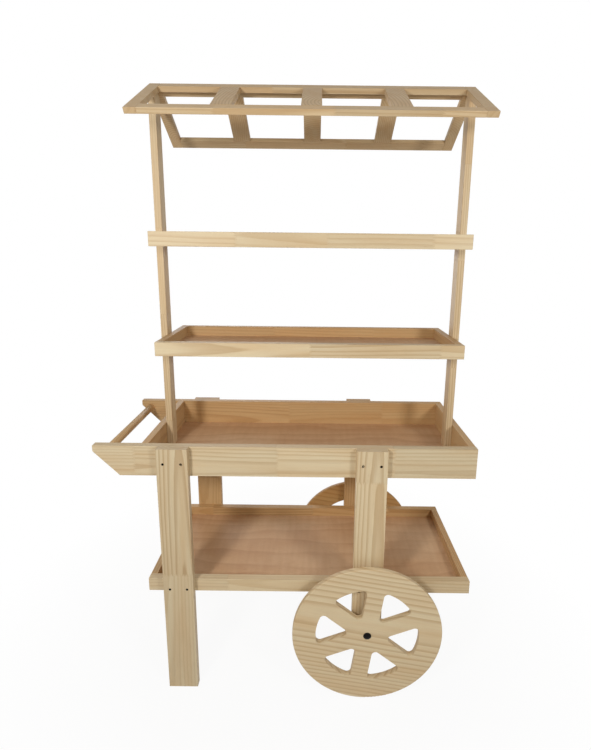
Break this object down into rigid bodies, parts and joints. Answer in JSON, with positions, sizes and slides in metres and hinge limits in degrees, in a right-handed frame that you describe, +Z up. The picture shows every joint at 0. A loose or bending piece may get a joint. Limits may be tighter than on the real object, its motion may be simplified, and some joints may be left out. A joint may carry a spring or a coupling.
{
  "type": "dessert cart",
  "caption": "Two-wheeled wooden display cart with a deep tray, a low tray, open shelves on uprights and a bare gable canopy frame.",
  "frame": {"origin": "on the ground, under the middle of the cart's length and depth", "axes": "+Z up, +X from the handle towards the wheels, the front face towards -Y"},
  "size_m": [1.148, 0.5126, 1.878],
  "materials": {
    "pine": "bare planed pine, matt",
    "pine_warm": "bare planed pine, warmer boards, matt",
    "pine_pale": "bare planed pine, paler boards, matt",
    "plywood": "reddish-brown plywood, matt",
    "black_steel": "blackened steel",
    "grey_steel": "zinc-plated steel"
  },
  "bodies": {
    "cart": {"front_side_board": "pine", "back_side_board": "pine", "left_end_board": "pine_warm", "right_end_board": "pine_warm", "main_tray_floor": "plywood", "handle_dowel": "pine_warm", "front_left_leg": "pine_pale", "back_left_leg": "pine_pale", "front_right_leg": "pine_pale", "back_right_leg": "pine_pale", "lower_front_rail": "pine_pale", "lower_back_rail": "pine_pale", "lower_left_rail": "pine_warm", "lower_right_rail": "pine_warm", "lower_tray_floor": "plywood", "left_upright": "pine", "right_upright": "pine", "shelf1_front_rail": "pine_pale", "shelf1_back_rail": "pine_pale", "shelf1_left_rail": "pine", "shelf1_right_rail": "pine", "shelf1_floor": "plywood", "shelf2_front_rail": "pine_pale", "shelf2_back_rail": "pine_pale", "shelf2_left_rail": "pine", "shelf2_right_rail": "pine", "shelf2_floor": "plywood", "front_eave_rail": "pine_pale", "back_eave_rail": "pine_pale", "front_ridge_rail": "pine_warm", "back_ridge_rail": "pine_warm", "front_left_rafter": "pine", "front_right_rafter": "pine", "back_left_rafter": "pine", "back_right_rafter": "pine", "front_mid_rafters": "pine_pale", "back_mid_rafters": "pine_pale", "front_axle_bolt": "black_steel", "back_axle_bolt": "black_steel", "wheel_spacers": "grey_steel", "axle_nuts": "grey_steel", "tray_screws": "black_steel", "lower_tray_screws": "black_steel"},
    "front_wheel": {"front_wheel": "pine"},
    "back_wheel": {"back_wheel": "pine"}
  },
  "joints": [
    {"name": "front_wheel_spin", "type": "hinge", "parent": "cart", "child": "front_wheel", "pos_m": [0.251, -0.243, 0.232], "axis": [0, 1, 0], "continuous": true},
    {"name": "back_wheel_spin", "type": "hinge", "parent": "cart", "child": "back_wheel", "pos_m": [0.251, 0.243, 0.232], "axis": [0, 1, 0], "continuous": true}
  ]
}
